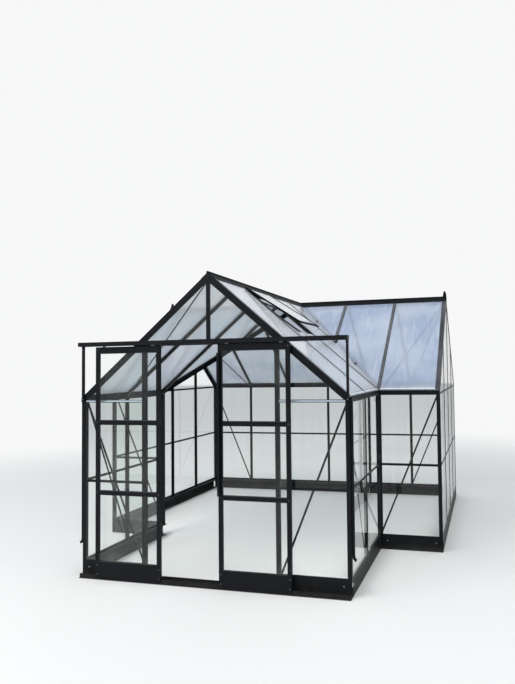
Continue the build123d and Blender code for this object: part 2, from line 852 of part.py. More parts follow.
wing_ridge = across(Pos(0, ridge_height) * ridge_flanks(), 0, ridge_y)
wing_ridge = wing_ridge & plan_prism([
    (-ridge_y, 0),
    (ridge_y, 0),
    (0, ridge_y),
])
web_start = rafter_top + touch
wing_ridge += across(Pos(0, ridge_height) * ridge_web(), web_start, ridge_y - web)
main_ridge = along_x(Pos(ridge_y, ridge_height) * ridge_flanks(), -rear_half, rear_half)
main_ridge = main_ridge - plan_prism([
    (-ridge_y, 0),
    (ridge_y, 0),
    (0, ridge_y),
])
main_web = Pos(ridge_y, ridge_height) * ridge_web()
main_ridge += along_x(main_web, web_start - rear_half, rear_half - web_start)
end_face = patch(-end_plate_width / 2, end_plate_width / 2, -end_plate_depth, ridge_crown)
end_plate = along_x(Pos(ridge_y, ridge_height) * end_face, rear_half, rear_half + wall)
finial_face = outline([
    (0, 0),
    (finial_radius, 0),
    (finial_radius, finial_collar),
    (finial_tip, finial_rise),
    (0, finial_rise),
])
finial = revolve(Plane.XZ * finial_face, axis=Axis.Z)
finial = Pos(rear_half + wall - finial_radius, ridge_y, ridge_height + ridge_crown - wall) * finial
ridge_end = end_plate + finial
main_ridge += ridge_end + mirrored(ridge_end)
# the wing's web and heel are coped to the main ridge
save("wing_ridge", wing_ridge - main_ridge)
save("main_ridge", main_ridge)

# Sill and guide of the sliding doors, on the ground in front of the base
door_middle = -(door_offset + door_depth / 2)
guide_section = patch(-guide_depth, -touch, 0, guide_plate)
guide_section += patch(-guide_plate - touch, -touch, 0, guide_height)
fin_foot = patch(door_middle - guide_fin / 2, door_middle + guide_fin / 2, 0, door_bottom + guide_fin_rise)
guide = along_x(guide_section + fin_foot, -half_span, half_span)
threshold_section = patch(-guide_plate - touch, base_flange, 0, guide_plate)
threshold_section += patch(base_flange - guide_plate, base_flange, 0, guide_height)
threshold = along_x(threshold_section, touch - jamb_inner, jamb_inner - touch)
save("door_sill", guide + threshold)

# Door track across the gable, with the rail that the wheels run on
wheel_y = door_middle + hanger_plate / 2 + touch + wheel_width / 2
rail_top = track_bottom + rail_height
track_section = patch(-track_depth, 0, track_height - track_wall, track_height)
track_section += patch(-track_depth, -track_depth + track_wall, 0, track_height)
track_section += patch(-track_wall, 0, 0, track_height)
track_section += patch(wheel_y - rail_thickness / 2, 0, 0, track_wall)
track_section += patch(wheel_y - rail_thickness / 2, wheel_y + rail_thickness / 2, 0, rail_height)
track = along_x(Pos(0, track_bottom) * track_section, -half_span, half_span)
save("door_track", track)
post_x = half_span - post_size
post_tube = patch(post_x, half_span, -post_size, 0)
post_tube -= patch(post_x + wall, half_span - wall, wall - post_size, -wall)
track_post = upright(post_tube, bar_top, track_bottom)
save("track_posts", track_post, mirrored(track_post))


# Sliding doors
def door_frame():
    """A leaf's frame at x from 0 to the door's width, with slots for three lights."""
    body = across(patch(0, door_width, door_bottom, door_top), -door_offset - door_depth, -door_offset)
    for low, high in lights:
        body = body - across(patch(stile, door_width - stile, low, high), -track_depth, 0)
    for low, high in lights:
        slot = patch(stile - glass_lap, door_width - stile + glass_lap, low - glass_lap, high + glass_lap)
        body = body - across(slot, door_middle - glass / 2 - seal, door_middle + glass / 2 + seal)
    groove = patch(door_middle - guide_slot / 2, door_middle + guide_slot / 2, 0, guide_fin_rise + guide_play)
    return body - along_x(Pos(0, door_bottom) * groove, 0, door_width)


def door_lights():
    """The leaf's panes."""
    panes = []
    for low, high in lights:
        lap = glass_lap - seal
        face = patch(stile - lap, door_width - stile + lap, low - lap, high + lap)
        panes.append(across(face, door_middle - glass / 2, door_middle + glass / 2))
    return panes


def hanger(x):
    """Bracket, axle and wheel that carry a leaf from the track's rail."""
    wheel_z = rail_top + touch + wheel_radius
    plate_top = wheel_z + axle_radius + wall
    plate = across(
        patch(x - hanger_width / 2, x + hanger_width / 2, door_top, plate_top),
        door_middle - hanger_plate / 2,
        door_middle + hanger_plate / 2,
    )
    disc = Pos(x, wheel_z) * Circle(wheel_radius)
    wheel = across(disc, wheel_y - wheel_width / 2, wheel_y + wheel_width / 2)
    axle = across(Pos(x, wheel_z) * Circle(axle_radius), door_middle, wheel_y + wheel_width / 2)
    return plate + wheel + axle


def grip():
    """Folded pull along the meeting stile, above the lowest rail; its lip turns back over the stile."""
    web = patch(0, wall, -grip_depth, 0)
    lip = patch(0, grip_width, -grip_depth, wall - grip_depth)
    face = Pos(0, -door_offset - door_depth) * (web + lip)
    return upright(face, lights[1][0], lights[-1][1] - grip_gap)


lights = []
light_low = door_bottom + door_kick
for index in range(2):
    lights.append((light_low, light_low + door_light))
    light_low += door_light + door_rail_height
lights.append((light_low, door_top - door_top_rail))
left_place = Pos(-meeting_gap / 2 - door_width - left_door_open, 0, 0)
right_place = Pos(meeting_gap / 2 + right_door_open, 0, 0)
hangers = [hanger(hanger_inset), hanger(door_width - hanger_inset)]
right_leaf = door_frame() + grip()
left_leaf = mirror(right_leaf, about=Plane.YZ.offset(door_width / 2))
for name, place, leaf in (("left_door", left_place, left_leaf), ("right_door", right_place, right_leaf)):
    save(f"{name}_frame", place * leaf)
    save(f"{name}_glass", *[place * piece for piece in door_lights()])
    save(f"{name}_hangers", *[place * piece for piece in hangers])
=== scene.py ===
import math

import bmesh
import bpy
import numpy as np
from mathutils import Matrix


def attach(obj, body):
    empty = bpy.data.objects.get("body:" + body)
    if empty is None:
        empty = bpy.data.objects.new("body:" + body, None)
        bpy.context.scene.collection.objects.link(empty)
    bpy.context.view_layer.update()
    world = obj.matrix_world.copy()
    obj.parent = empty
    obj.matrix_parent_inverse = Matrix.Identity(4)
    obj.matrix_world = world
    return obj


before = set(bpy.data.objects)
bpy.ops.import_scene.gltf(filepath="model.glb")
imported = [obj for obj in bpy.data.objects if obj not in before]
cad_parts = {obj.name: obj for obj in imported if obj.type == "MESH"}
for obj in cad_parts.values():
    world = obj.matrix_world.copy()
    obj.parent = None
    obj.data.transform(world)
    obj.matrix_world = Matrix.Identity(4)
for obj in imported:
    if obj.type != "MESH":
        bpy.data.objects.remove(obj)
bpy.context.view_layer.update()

# Base: a folded steel channel, 125 mm tall, under every wall. It is powder coated black,
# stands on the paving and collects splashed soil along its foot. Round-headed bolts hold
# its corners and its joint to the wall sill.


class Shade:
    """One value in a node tree; sums on it add the tree's Math nodes."""

    def __init__(self, finish, socket):
        self.finish, self.socket = finish, socket

    def _math(self, operation, first, second):
        return self.finish.node("ShaderNodeMath", {"operation": operation}, {0: first, 1: second})

    def __add__(self, other):
        return self._math("ADD", self, other)

    def __radd__(self, other):
        return self._math("ADD", other, self)

    def __sub__(self, other):
        return self._math("SUBTRACT", self, other)

    def __rsub__(self, other):
        return self._math("SUBTRACT", other, self)

    def __mul__(self, other):
        return self._math("MULTIPLY", self, other)

    def __rmul__(self, other):
        return self._math("MULTIPLY", other, self)


class Finish:
    """A material under construction, or the backdrop of the world."""

    def __init__(self, name, world=False):
        self.owner = (bpy.data.worlds if world else bpy.data.materials).new(name)
        self.owner.use_nodes = True
        self.tree = self.owner.node_tree
        self.tree.nodes.clear()

    def node(self, kind, settings=None, values=None, out=0):
        """Adds a node: its settings first, then its sockets' numbers or links."""
        made = self.tree.nodes.new(kind)
        for key, value in (settings or {}).items():
            setattr(made, key, value)
        for key, value in (values or {}).items():
            if isinstance(value, Shade):
                self.tree.links.new(value.socket, made.inputs[key])
            else:
                made.inputs[key].default_value = value
        return Shade(self, made.outputs[out])

    def place(self, scale=(1, 1, 1)):
        """Object coordinates in metres, stretched by a scale."""
        where = self.node("ShaderNodeTexCoord", out="Object")
        if tuple(scale) == (1, 1, 1):
            return where
        return self.node("ShaderNodeMapping", values={"Vector": where, "Scale": scale})

    def axis(self, index):
        """One of the Object coordinates."""
        return self.node("ShaderNodeSeparateXYZ", values={0: self.place()}, out=index)

    def noise(self, size, stretch=(1, 1, 1), detail=3.0):
        """Cloudy noise from 0 to 1 with blots of about a size in metres."""
        values = {"Vector": self.place(stretch), "Scale": 1 / size, "Detail": detail}
        return self.node("ShaderNodeTexNoise", values=values)

    def fade(self, value, low, high, start=0.0, end=1.0):
        """A smooth change from start to end as a value goes from low to high."""
        settings = {"interpolation_type": "SMOOTHSTEP"}
        values = {"Value": value, "From Min": low, "From Max": high, "To Min": start, "To Max": end}
        return self.node("ShaderNodeMapRange", settings, values)

    def mix(self, share, first, second):
        """A colour between two colours."""
        first = first if isinstance(first, Shade) else (*first, 1)
        second = second if isinstance(second, Shade) else (*second, 1)
        return self.node("ShaderNodeMix", {"data_type": "RGBA"}, {0: share, 6: first, 7: second}, out=2)

    def relief(self, height, depth):
        """A bumped normal from a height of 0 to 1 and its depth in metres."""
        return self.node("ShaderNodeBump", values={"Height": height, "Distance": depth, "Strength": 1.0})

    def principled(self, **values):
        """A Principled shader; underscores in a socket's name stand for spaces."""
        values = {name.replace("_", " "): value for name, value in values.items()}
        return self.node("ShaderNodeBsdfPrincipled", values=values)

    def blend(self, share, first, second):
        """A shader between two shaders."""
        return self.node("ShaderNodeMixShader", values={0: share, 1: first, 2: second})

    def open_to_lamps(self, shader, tint):
        """A clear shader that lets the lamps' light straight through, in a tint."""
        straight = self.node("ShaderNodeBsdfTransparent", values={"Color": (*tint, 1)})
        return self.blend(self.node("ShaderNodeLightPath", out="Is Shadow Ray"), shader, straight)

    def done(self, surface, end="ShaderNodeOutputMaterial"):
        """Ends the tree with a shader and gives back what the tree belongs to."""
        self.tree.links.new(surface.socket, self.tree.nodes.new(end).inputs["Surface"])
        return self.owner


def upward(finish):
    """How far a surface faces up: 0 on its side, 1 level."""
    normal = finish.node("ShaderNodeNewGeometry", out="Normal")
    level = finish.node("ShaderNodeSeparateXYZ", values={0: normal}, out=2)
    return finish.fade(level, 0.25, 0.95)


dust_and_sheen_colour, run_colour, soil_colour = (0.185, 0.200, 0.220), (0.028, 0.031, 0.034), (0.085, 0.078, 0.066)
peel_size, peel_depth = 0.0018, 0.00012


def black_coat(name, colour, roughness, soil=0.0, dust_and_sheen_share=0.16, gloss=0.1):
    """Black powder coat with a fine orange peel and slow changes of shade. Pale dust and, where its share is
    raised, a painted sky sheen lie on its upper faces; rain leaves runs, and soil splashes up from the
    ground."""
    m = Finish(name)
    cloud = m.noise(0.35, detail=4)
    speck = m.noise(0.02, detail=5)
    coat = m.mix(cloud, colour, [2.2 * c for c in colour])
    # upper faces get pale dust and, where the share is raised, a painted sky sheen as well
    dust = upward(m) * m.fade(speck * 0.5 + cloud * 0.5, 0.35, 0.7, 0.3 * dust_and_sheen_share, dust_and_sheen_share)
    coat = m.mix(dust, coat, dust_and_sheen_colour)
    streak = m.noise(0.03, stretch=(1, 1, 0.06), detail=4)
    runs = m.fade(streak, 0.56, 0.74, 0.0, 0.15)
    coat = m.mix(runs, coat, run_colour)
    rough = roughness + dust * 0.3 + speck * 0.14 - 0.07
    if soil:
        height = m.axis(2)
        splash = m.fade(height + m.noise(0.05, detail=6) * 0.09, 0.04, 0.12, soil, 0.0)
        splash = splash * m.fade(m.noise(0.012, detail=4), 0.35, 0.65, 0.35, 1.0)
        coat = m.mix(splash, coat, soil_colour)
        rough = rough + splash * 0.3
    normal = m.relief(m.noise(peel_size, detail=2), peel_depth)
    return m.done(m.principled(Base_Color=coat, Roughness=rough, Normal=normal, Specular_IOR_Level=gloss))


base_coat = black_coat("base_powder_coat", (0.0035, 0.0042, 0.0050), 0.45, soil=0.35)


def paint(material, *nodes):
    """Gives CAD nodes a finish."""
    for node in nodes:
        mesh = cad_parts[node].data
        mesh.materials.clear()
        mesh.materials.append(material)


paint(base_coat, "base_front", "base_left", "base_right", "base_rear")


def add_object(name, data):
    """A new object in the scene."""
    made = bpy.data.objects.new(name, data)
    bpy.context.scene.collection.objects.link(made)
    return made


def make_piece(name, grids, material, body):
    """One mesh object from grids of points, each (rows, columns, 3) with its columns a closed ring. The
    faces join neighbouring rows and columns. A looped grid joins its last row to its first, and another
    one has its first and last rows drawn together."""
    points, faces, start = [], [], 0
    for grid, looped in grids:
        rows, columns = grid.shape[:2]
        index = start + np.arange(rows * columns).reshape(rows, columns)
        around = np.roll(index, -1, axis=1)
        above = np.roll(index, -1, axis=0)
        corner = np.roll(around, -1, axis=0)
        quads = np.stack([index, around, corner, above], axis=-1)
        quads = quads if looped else quads[:-1]
        points.append(grid.reshape(-1, 3))
        faces.append(quads.reshape(-1, 4))
        start += rows * columns
    mesh = bpy.data.meshes.new(name)
    mesh.from_pydata(np.concatenate(points).tolist(), [], np.concatenate(faces).tolist())
    work = bmesh.new()
    work.from_mesh(mesh)
    bmesh.ops.remove_doubles(work, verts=work.verts, dist=1e-6)
    bmesh.ops.dissolve_degenerate(work, edges=work.edges, dist=1e-6)
    bmesh.ops.recalc_face_normals(work, faces=work.faces)
    work.to_mesh(mesh)
    work.free()
    mesh.materials.append(material)
    piece = add_object(name, mesh)
    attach(piece, body)


any_slant = (0.31, 0.52, 0.79)


def domes(centres, normal, radius, height, ring=10):
    """Round bolt heads. On a grid of turn a and rise b, a point is the centre plus the radius times cos b
    round the normal, plus the height times sin b along it; the first row is drawn together at the seat."""
    normal = np.asarray(normal, float)
    side = np.cross(normal, any_slant)
    side /= np.linalg.norm(side)
    other = np.cross(normal, side)
    turn = np.linspace(0, 2 * np.pi, ring, endpoint=False)
    rise = np.array([0, 0, 0.45, 0.95, 1.3, np.pi / 2])
    reach = radius * np.cos(rise)
    reach[0] = 0
    lift = height * np.sin(rise)
    disc = np.cos(turn)[None, :, None] * side + np.sin(turn)[None, :, None] * other
    head = reach[:, None, None] * disc + lift[:, None, None] * normal
    return [(head + np.asarray(centre), False) for centre in centres]


stain_colour = (0.16, 0.13, 0.10)


def bright_steel(name, colour, roughness):
    """Zinc-plated steel with a dull bloom and small stains."""
    m = Finish(name)
    bloom = m.noise(0.006, detail=4)
    stain = m.fade(m.noise(0.02, detail=5), 0.55, 0.72, 0.0, 0.5)
    coat = m.mix(bloom, colour, [0.7 * c for c in colour])
    coat = m.mix(stain, coat, stain_colour)
    rough = roughness + bloom * 0.25 + stain * 0.2
    normal = m.relief(m.noise(0.0012, detail=2), 0.00005)
    return m.done(m.principled(Base_Color=coat, Roughness=rough, Metallic=0.9, Normal=normal))


bolt_steel = bright_steel("dulled_bolt_steel", (0.30, 0.30, 0.31), 0.38)
bay = 0.64
half_span, rear_half, front_length, rear_y = 2 * bay, 3 * bay, 2 * bay, 6 * bay
bolt_row, bolt_from_corner, bolt_by_doorway = 0.090, 0.07, 0.67
base_bolt = (0.0065, 0.003)


def along_bays(start, stop):
    """Places beside each bar between two ends, and near both ends."""
    marks = np.arange(start + bay, stop - bay / 2, bay)
    return np.concatenate([[start + bolt_from_corner], marks, [stop - bolt_from_corner]])


base_heads = []
for x in (-1, 1):
    wing = [(x * half_span, y, bolt_row) for y in along_bays(0, front_length)]
    end = [(x * rear_half, y, bolt_row) for y in along_bays(front_length, rear_y)]
    front = [(x * s, 0, bolt_row) for s in (half_span - bolt_from_corner, bolt_by_doorway)]
    step_ends = (half_span + bolt_from_corner, rear_half - bolt_from_corner)
    step = [(x * s, front_length, bolt_row) for s in step_ends]
    for row, face in ((wing, (x, 0, 0)), (end, (x, 0, 0)), (front, (0, -1, 0)), (step, (0, -1, 0))):
        base_heads += domes(row, face, *base_bolt)
make_piece("base_bolts", base_heads, bolt_steel, "house")

# Walls: bars, posts, sills, joint strips and gutters of extruded aluminium, powder coated black.
# They are bolted together from the inside, with flat wind braces in the corner bays.
# the frames' upper faces carry pale dust and a painted sky sheen
frame_coat_and_sheen = black_coat("frame_powder_coat_and_sheen", (0.0038, 0.0046, 0.0056), 0.36, dust_and_sheen_share=0.6)
paint(
    frame_coat_and_sheen,
    "front_left_panel", "front_right_panel", "front_left_rafter", "front_right_rafter", "gable_head",
    "left_wing_frame", "right_wing_frame", "return_frames", "left_end_frame", "right_end_frame", "rear_frame",
)

# Glass: 4 mm toughened sheets in the bars' slots, clear with a faint green cast, and cleaner in
# the middle than at their feet, where rain leaves lime and algae.
green_cast, lime_film = (0.965, 0.985, 0.975, 1), (0.52, 0.53, 0.47, 1)
glass_tint = (0.93, 0.955, 0.945)


def window_glass(name):
    """Clear glass that lets lamps through, under a thin film of dried rain and dust."""
    m = Finish(name)
    clear = m.principled(Base_Color=green_cast, Roughness=0.0, IOR=1.28, Transmission_Weight=1.0)
    pane = m.open_to_lamps(clear, glass_tint)
    film = m.fade(m.noise(0.14, stretch=(1, 1, 0.1), detail=4), 0.42, 0.72, 0.0, 0.006)
    foot = m.fade(m.axis(2) + m.noise(0.04, detail=5) * 0.08, 0.17, 0.30, 0.05, 0.0)
    spots = m.fade(m.noise(0.006, detail=2), 0.66, 0.72, 0.0, 0.02)
    dirt = m.principled(Base_Color=lime_film, Roughness=0.75)
    return m.done(m.blend(film + foot + spots, pane, dirt))


paint(
    window_glass("clear_glass"),
    "front_glass", "left_wing_glass", "right_wing_glass", "return_glass",
    "left_end_glass", "right_end_glass", "rear_glass", "left_door_glass", "right_door_glass",
)

# Glazing seals: a soft black bead pressed between the glass and the bars' outer lips, all round
# each pane. It stands 3 mm off the glass, and its corners are mitred.
bloom_grey = (0.05, 0.05, 0.05)


def rubber(name, colour):
    """Matt black rubber with a grey bloom."""
    m = Finish(name)
    bloom = m.fade(m.noise(0.03, detail=5), 0.4, 0.75)
    coat = m.mix(bloom, colour, bloom_grey)
    rough = 0.62 + bloom * 0.2
    normal = m.relief(m.noise(0.002, detail=3), 0.0001)
    return m.done(m.principled(Base_Color=coat, Roughness=rough, Normal=normal, Specular_IOR_Level=0.3))


seal_rubber = rubber("seal_rubber", (0.012, 0.012, 0.013))


def swept(path, profile, normal, looped=True):
    """A profile carried along a flat path. With i along the path and j round the profile, the point is
    path[i] + u[j] * side[i] + v[j] * normal, where side[i] lies in the path's plane, halfway between its
    two runs, and is lengthened by one over the cosine of half their turn, so that corners are mitred."""
    path, normal = np.asarray(path, float), np.asarray(normal, float)
    runs = np.roll(path, -1, axis=0) - path if looped else np.diff(path, axis=0)
    runs /= np.linalg.norm(runs, axis=1)[:, None]
    sides = np.cross(normal, runs)
    if looped:
        before, after = np.roll(sides, 1, axis=0), sides
    else:
        before, after = np.vstack([sides[:1], sides]), np.vstack([sides, sides[-1:]])
    side = (before + after) / (1 + np.sum(before * after, axis=1))[:, None]
    u, v = np.asarray(profile, float).T
    grid = path[:, None] + u[None, :, None] * side[:, None] + v[None, :, None] * normal
    if not looped:
        ends = grid.mean(axis=1, keepdims=True).repeat(grid.shape[1], axis=1)
        grid = np.concatenate([ends[:1], grid, ends[-1:]])
    return grid, looped


def quarter_bead(width, rise):
    """A bead's profile: its inner corner and a quarter of an ellipse."""
    return [(0, 0)] + [(width * math.cos(a), rise * math.sin(a)) for a in np.linspace(0, np.pi / 2, 4)]


class Wall:
    """A wall's own frame: s along it, t inwards and z up, in metres."""

    def __init__(self, origin, along, inward):
        self.origin, self.along, self.inward = (np.asarray(v, float) for v in (origin, along, inward))

    def at(self, s, t, z):
        return self.origin + s * self.along + t * self.inward + np.array([0, 0, z])

    def loop(self, corners, t, profile, outward=1):
        """A bead round an opening, on its outer face, or on its inner one where outward is -1."""
        path = np.array([self.at(s, t, z) for s, z in corners])
        normal = -self.inward * outward
        turned = np.cross(path[1] - path[0], path[2] - path[1])
        if np.dot(turned, normal) < 0:
            path = path[::-1]
        return swept(path, profile, normal)


walls = {
    "front": Wall((-half_span, 0, 0), (1, 0, 0), (0, 1, 0)),
    "right_wing": Wall((half_span, 0, 0), (0, 1, 0), (-1, 0, 0)),
    "left_wing": Wall((-half_span, 0, 0), (0, 1, 0), (1, 0, 0)),
    "right_return": Wall((half_span, front_length, 0), (1, 0, 0), (0, 1, 0)),
    "left_return": Wall((-half_span, front_length, 0), (-1, 0, 0), (0, 1, 0)),
    "right_end": Wall((rear_half, front_length, 0), (0, 1, 0), (-1, 0, 0)),
    "left_end": Wall((-rear_half, front_length, 0), (0, 1, 0), (1, 0, 0)),
    "rear": Wall((rear_half, rear_y, 0), (-1, 0, 0), (0, -1, 0)),
}
post, lip, return_cover = 0.034, 0.015, 0.022
sill_top, strip_low, strip_high, gutter_foot = 0.153, 0.867, 0.883, 1.598
tie_low, tie_high, eave = 1.600, 1.616, 1.655
jamb_edge, header_top = 0.622, 2.152
pitch = math.radians(40.5)
slope = math.tan(pitch)
rafter_depth = 0.056
rafter_line = eave - rafter_depth / math.cos(pitch)
glass_face, least_height = 0.0033, 0.001
span = 2 * half_span


def under_rafter(s):
    """Height of the rafter's lower edge at a place along a gable."""
    return rafter_line + slope * min(s, span - s)


def panes_of(edges, top=gutter_foot):
    """Corners of the lower and upper openings between pairs of places."""
    rows = ((sill_top, strip_low), (strip_high, top))
    return [[(a, low), (b, low), (b, high), (a, high)] for a, b in edges for low, high in rows]


def gable_pane(a, b, foot):
    """Corners of an opening under the rafter: it ends in a point where the rafter meets its foot."""
    meet = (foot - rafter_line) / slope
    a, b = max(a, meet), min(b, span - meet)
    tops = [(b, under_rafter(b)), (a, under_rafter(a))]
    return [(a, foot), (b, foot)] + [top for top in tops if top[1] > foot + least_height]


def bays(length, stop=post):
    """Openings between the bars of a wall, from its first post to a stop short of its end."""
    count = round(length / bay)
    lows = [post if i == 0 else i * bay + lip for i in range(count)]
    highs = [length - stop if i == count - 1 else (i + 1) * bay - lip for i in range(count)]
    return list(zip(lows, highs))


front_sides = [(post, jamb_edge), (span - jamb_edge, span - post)]
front_holes = panes_of(front_sides, tie_low) + [gable_pane(a, b, tie_high) for a, b in front_sides]
over_track = ((0, half_span - lip), (half_span + lip, span))
front_holes += [gable_pane(a, b, header_top) for a, b in over_track]
wing_holes = panes_of(bays(front_length, stop=0))
return_holes = panes_of([(return_cover, rear_half - half_span - post)])
end_holes = panes_of(bays(span), tie_low) + [gable_pane(a, b, tie_high) for a, b in bays(span)]
holes = {
    "front": front_holes,
    "right_wing": wing_holes,
    "left_wing": wing_holes,
    "right_return": return_holes,
    "left_return": return_holes,
    "right_end": end_holes,
    "left_end": end_holes,
    "rear": panes_of(bays(2 * rear_half)),
}
bead = quarter_bead(0.0045, 0.0028)
for name, wall in walls.items():
    rings = [wall.loop(corners, glass_face, bead) for corners in holes[name]]
    make_piece(f"{name}_glazing_seals", rings, seal_rubber, "house")

# Pale strips: a bluish-white strip in the groove of the level tie's outer face, beside the doorway on
# both sides of the doors, is a painted highlight of the sky along the tie. It shines against the black.


def pale_plastic(name, colour):
    """Pale satin plastic, greyed by dust and rain."""
    m = Finish(name)
    grime = m.fade(m.noise(0.05, detail=6), 0.4, 0.75, 0.0, 0.6)
    coat = m.mix(grime, colour, [0.6 * c for c in colour])
    normal = m.relief(m.noise(0.004, detail=3), 0.0001)
    return m.done(m.principled(Base_Color=coat, Roughness=0.3 + grime * 0.3, Normal=normal))


strip_half, strip_rise, strip_level, strip_play = 0.0062, 0.0012, 1.608, 0.002
strip_crest = strip_half - strip_rise
flat_strip = [(-strip_half, 0), (strip_half, 0), (strip_crest, strip_rise), (-strip_crest, strip_rise)]
tie_highlight_strips = []
for a, b in front_sides:
    line = [walls["front"].at(s, 0, strip_level) for s in (a + strip_play, b - strip_play)]
    tie_highlight_strips.append(swept(line, flat_strip, (0, -1, 0), looped=False))
# painted highlight: a pale strip that stands for the sky's gleam along the tie
tie_painted_highlight = pale_plastic("tie_painted_highlight_strip", (0.46, 0.54, 0.63))
make_piece("front_tie_painted_highlights", tie_highlight_strips, tie_painted_highlight, "house")

# Door track: a hood of black aluminium across the gable that hides the wheels, closed at both
# ends by plastic caps and carried by a post at each end. Screws hold it along its top.
paint(black_coat("track_powder_coat", (0.0045, 0.0052, 0.0065), 0.34), "door_track", "track_posts")
track_low, track_high, track_front = 2.114, header_top, -0.070


def slab(low, high, normal_axis, ease=0.0008):
    """A thin plate between two corners: a rectangle carried through its thickness with eased edges."""
    low, high = np.asarray(low, float), np.asarray(high, float)
    a, b = [axis for axis in range(3) if axis != normal_axis]
    u = np.array([low[a], high[a], high[a], low[a]])
    v = np.array([low[b], low[b], high[b], high[b]])
    middle_u, middle_v = (low[a] + high[a]) / 2, (low[b] + high[b]) / 2
    drawn_u, drawn_v = u + np.sign(middle_u - u) * ease, v + np.sign(middle_v - v) * ease
    start, stop = low[normal_axis], high[normal_axis]
    rows = [
        (middle_u, middle_v, start), (drawn_u, drawn_v, start), (u, v, start + ease),
        (u, v, stop - ease), (drawn_u, drawn_v, stop), (middle_u, middle_v, stop),
    ]
    grid = np.zeros((len(rows), 4, 3))
    for row, (row_u, row_v, height) in enumerate(rows):
        grid[row, :, a], grid[row, :, b], grid[row, :, normal_axis] = row_u, row_v, height
    return grid, False


cap_thick = 0.003
caps = []
for x in (-1, 1):
    near, far = sorted((x * half_span, x * (half_span + cap_thick)))
    caps.append(slab((near, track_front, track_low), (far, 0, track_high), 0))
cap_plastic = rubber("black_cap_plastic", (0.010, 0.010, 0.011))
make_piece("track_end_caps", caps, cap_plastic, "house")
last_screw, post_line, post_face, post_levels = 1.2, 1.27, -0.020, (1.625, 2.08)
track_screw, post_screw = (0.005, 0.0025), (0.0045, 0.0025)
track_screws = [(x, track_front / 2, track_high) for x in np.linspace(-last_screw, last_screw, 7)]
post_screws = [(x * post_line, post_face, z) for x in (-1, 1) for z in post_levels]
heads = domes(track_screws, (0, 0, 1), *track_screw) + domes(post_screws, (0, -1, 0), *post_screw)
make_piece("track_screws", heads, bolt_steel, "house")

# Sliding doors: two leaves, each a black frame of two stiles and four rails round three panes,
# with a folded pull on its meeting stile. Screws show at the joints, and brushes close the gap
# over the sill. The leaves hang on zinc-plated wheels inside the track.
door_coat = black_coat("door_powder_coat", (0.0038, 0.0046, 0.0060), 0.35)
paint(door_coat, "left_door_frame", "right_door_frame")
paint(base_coat, "door_sill")
paint(bright_steel("hanger_zinc", (0.42, 0.42, 0.43), 0.32), "left_door_hangers", "right_door_hangers")
door_width, door_foot, door_face, stile = 0.660, 0.020, -0.050, 0.035
door_rows = ((0.162, 0.764), (0.798, 1.400), (1.434, 2.050))
door_glass_front, door_glass_back = -0.0395, -0.0355
door_bead = quarter_bead(0.006, 0.0065)
door_screw, screw_levels, pull_foot = (0.0038, 0.0018), (0.050, 0.130, 0.781, 1.417, 2.078), 0.79
bristle_step, bristle_width, bristle_length, bristle_lean, lean_turns = 0.0016, 0.0005, 0.0055, 0.0006, 9000
brush_depths, brush_play, tuft_taper = (-0.047, -0.028), 0.006, 0.6
four_sides = bristle_width * np.array([(1, 0, 0), (0, 1, 0), (-1, 0, 0), (0, -1, 0)])
tuft_rings = np.array([0, 1, tuft_taper, 0])[:, None, None] * four_sides
left_leaf, right_leaf = -1.106, 0.117
leaves = (("left_door", left_leaf, left_leaf + door_width), ("right_door", right_leaf, right_leaf))
for name, start, meeting in leaves:
    leaf = Wall((start, 0, 0), (1, 0, 0), (0, 1, 0))
    rings = []
    for low, high in door_rows:
        corners = [(stile, low), (door_width - stile, low), (door_width - stile, high), (stile, high)]
        rings.append(leaf.loop(corners, door_glass_front, door_bead))
        rings.append(leaf.loop(corners, door_glass_back, door_bead, outward=-1))
    make_piece(f"{name}_seals", rings, seal_rubber, name)

    # the pull covers the upper screws of the meeting stile
    spots = [(start + s, door_face, z) for s in (stile / 2, door_width - stile / 2) for z in screw_levels]
    spots = [spot for spot in spots if abs(spot[0] - meeting) > stile or spot[2] < pull_foot]
    heads = domes(spots, (0, -1, 0), *door_screw)
    make_piece(f"{name}_screws", heads, bolt_steel, name)

    # brush along the foot, in two rows: each tuft is a thin four-sided spike, drawn together at its
    # two ends, and leans by a sine of its place
    tufts = []
    for depth in brush_depths:
        place = np.arange(start + brush_play, start + door_width - brush_play, bristle_step)
        lean = bristle_lean * np.sin(place * lean_turns)
        top = np.stack([place, np.full_like(place, depth), np.full_like(place, door_foot)], axis=-1)
        foot = top + np.stack([lean, 0 * lean, np.full_like(lean, -bristle_length)], axis=-1)
        middles = np.stack([top, top, foot, foot], axis=1)[:, :, None]
        tufts += [(tuft, False) for tuft in middles + tuft_rings]
    make_piece(f"{name}_brush", tufts, seal_rubber, name)

# Roof bars, ridges and valleys: the same black extrusions, laid from ridge to gutter, coped on to
# valley bars where the two roofs meet. Screws hold each bar near its ends, and a bead runs down
# both of its sides.
# the bars' upper faces carry dust and a strong painted sky sheen; the ridge coat carries almost none
bar_coat_and_sheen = black_coat("roof_bar_powder_coat_and_sheen", (0.0050, 0.0058, 0.0070), 0.34, dust_and_sheen_share=0.85, gloss=0.4)
paint(bar_coat_and_sheen, "left_wing_roof_bars", "right_wing_roof_bars", "front_roof_bars", "rear_roof_bars")
ridge_coat = black_coat("ridge_powder_coat", (0.0036, 0.0044, 0.0056), 0.50, dust_and_sheen_share=0.05, gloss=0.03)
paint(ridge_coat, "wing_ridge", "main_ridge", "valley_bars", "roof_vent_sash")
paint(bright_steel("opener_steel", (0.07, 0.07, 0.075), 0.45), "vent_opener")
ridge_height = eave + half_span * slope
ridge_y = front_length + half_span
cos_p, sin_p = math.cos(pitch), math.sin(pitch)


class Slope:
    """A roof slope's own frame: a along the ridge, d down the slope and h out of it, in metres."""

    def __init__(self, origin, along, down):
        self.origin, self.along, self.down = (np.asarray(v, float) for v in (origin, along, down))
        self.out = np.array([down[0] / cos_p * sin_p, down[1] / cos_p * sin_p, cos_p])

    def at(self, a, d, h):
        return self.origin + a * self.along + d * self.down + h * self.out


